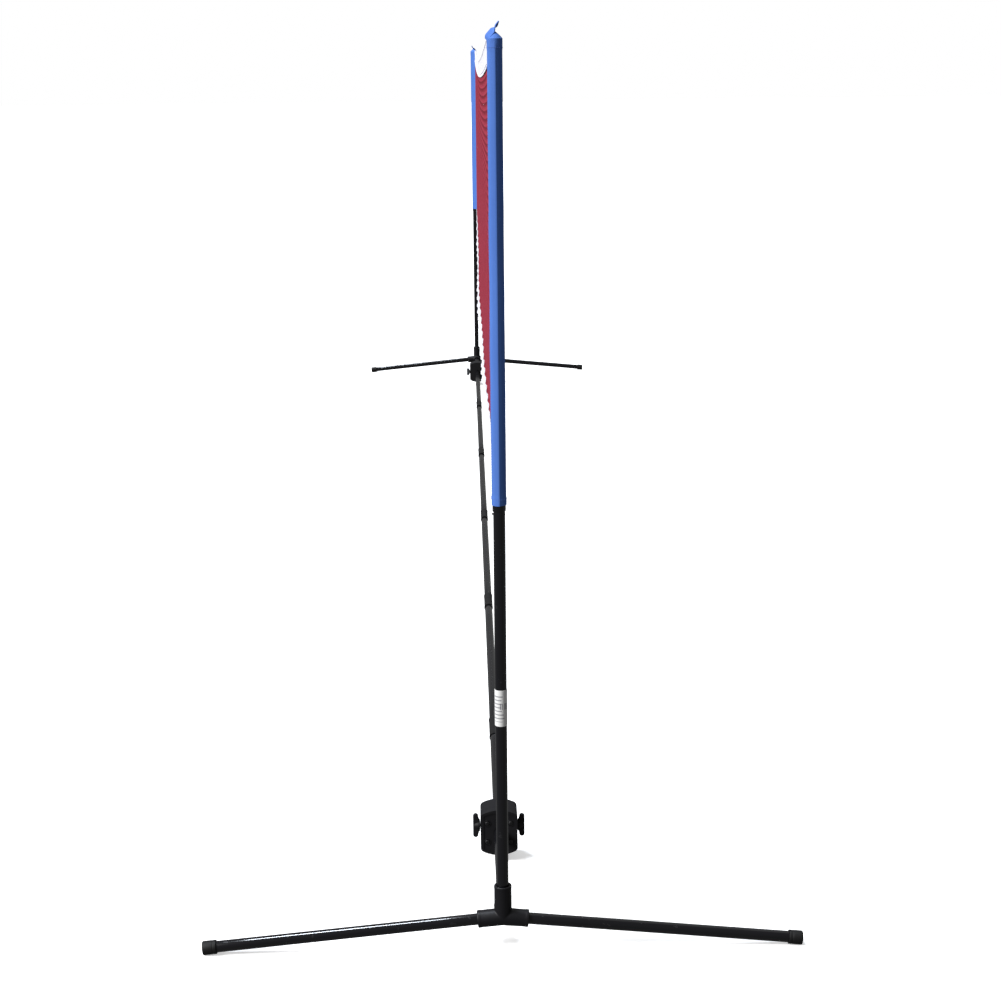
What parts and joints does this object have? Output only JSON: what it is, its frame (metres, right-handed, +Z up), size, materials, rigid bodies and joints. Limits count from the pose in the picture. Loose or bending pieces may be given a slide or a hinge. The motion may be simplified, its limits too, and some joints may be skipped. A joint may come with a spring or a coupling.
{
  "type": "portable badminton net set",
  "caption": "Free-standing sports net on plug-together T feet and uprights, with fabric pole sleeves, taped netting and a sectional ground bar held by wing-screw clamps",
  "frame": {"origin": "centre of the footprint on the floor, midway between the two uprights", "axes": "+Z up, +Y along the net from the near upright to the far one, +X across the net along the feet"},
  "size_m": [1.0458, 6.1306, 1.5657],
  "materials": {
    "black_tube": "gloss black powder coat",
    "black_plastic": "satin moulded",
    "black_cap": "soft matte",
    "bare_steel": "zinc plated",
    "black_screw": "black zinc plating",
    "blue_cloth": "woven polyester",
    "white_tape": "woven tape",
    "maroon_net": "knotless netting",
    "white_label": "plain sticker"
  },
  "bodies": {
    "base_frame": {"base_tee_far": "black_plastic", "base_tee_near": "black_plastic", "clamp_body_far": "black_plastic", "clamp_body_near": "black_plastic", "clamp_cover_far": "black_plastic", "clamp_cover_near": "black_plastic", "cover_screw_1_far": "black_screw", "cover_screw_1_near": "black_screw", "cover_screw_2_far": "black_screw", "cover_screw_2_near": "black_screw", "cover_screw_3_far": "black_screw", "cover_screw_3_near": "black_screw", "cover_screw_4_far": "black_screw", "cover_screw_4_near": "black_screw", "crossbar_coupler_1": "black_plastic", "crossbar_coupler_2": "black_plastic", "crossbar_coupler_3": "black_plastic", "crossbar_coupler_4": "black_plastic", "crossbar_coupler_5": "black_plastic", "crossbar_tube_1": "black_tube", "crossbar_tube_2": "black_tube", "crossbar_tube_3": "black_tube", "crossbar_tube_4": "black_tube", "crossbar_tube_5": "black_tube", "crossbar_tube_6": "black_tube", "foot_cap_left_far": "black_cap", "foot_cap_left_near": "black_cap", "foot_cap_right_far": "black_cap", "foot_cap_right_near": "black_cap", "leg_left_far": "black_tube", "leg_left_near": "black_tube", "leg_right_far": "black_tube", "leg_right_near": "black_tube", "lower_pole_far": "black_tube", "lower_pole_near": "black_tube", "pole_label": "white_label", "stub_tube_far": "black_tube", "stub_tube_near": "black_tube"},
    "net_and_upper_poles": {"net_panel": "maroon_net", "top_tape": "white_tape", "bottom_tape": "white_tape", "upper_pole_near": "black_tube", "pole_plug_near": "black_plastic", "sleeve_near": "blue_cloth", "pull_tab_near": "blue_cloth", "upper_pole_far": "black_tube", "pole_plug_far": "black_plastic", "sleeve_far": "blue_cloth", "pull_tab_far": "blue_cloth"},
    "wing_screw_left_near": {"wing_screw_left_near": "black_plastic"},
    "wing_screw_right_near": {"wing_screw_right_near": "black_plastic"},
    "wing_screw_left_far": {"wing_screw_left_far": "black_plastic"},
    "wing_screw_right_far": {"wing_screw_right_far": "black_plastic"},
    "snap_button_near": {"snap_button_near": "bare_steel"},
    "snap_button_far": {"snap_button_far": "bare_steel"}
  },
  "joints": [
    {"name": "net_lift", "type": "slide", "parent": "base_frame", "child": "net_and_upper_poles", "axis": [0, 0, 1], "range_m": [0, 0.125]},
    {"name": "turn_wing_screw_left_near", "type": "hinge", "parent": "base_frame", "child": "wing_screw_left_near", "pos_m": [-0.0355, -2.657, 0.0617], "axis": [-1, 0, 0], "continuous": true},
    {"name": "turn_wing_screw_right_near", "type": "hinge", "parent": "base_frame", "child": "wing_screw_right_near", "pos_m": [0.0355, -2.657, 0.0617], "axis": [1, 0, 0], "continuous": true},
    {"name": "turn_wing_screw_left_far", "type": "hinge", "parent": "base_frame", "child": "wing_screw_left_far", "pos_m": [0.0355, 2.657, 0.0617], "axis": [1, 0, 0], "continuous": true},
    {"name": "turn_wing_screw_right_far", "type": "hinge", "parent": "base_frame", "child": "wing_screw_right_far", "pos_m": [-0.0355, 2.657, 0.0617], "axis": [-1, 0, 0], "continuous": true},
    {"name": "press_snap_button_near", "type": "slide", "parent": "base_frame", "child": "snap_button_near", "axis": [1, 0, 0], "range_m": [0, 0.0035], "stiffness_N_per_m": 400},
    {"name": "press_snap_button_far", "type": "slide", "parent": "base_frame", "child": "snap_button_far", "axis": [-1, 0, 0], "range_m": [0, 0.0035], "stiffness_N_per_m": 400}
  ]
}
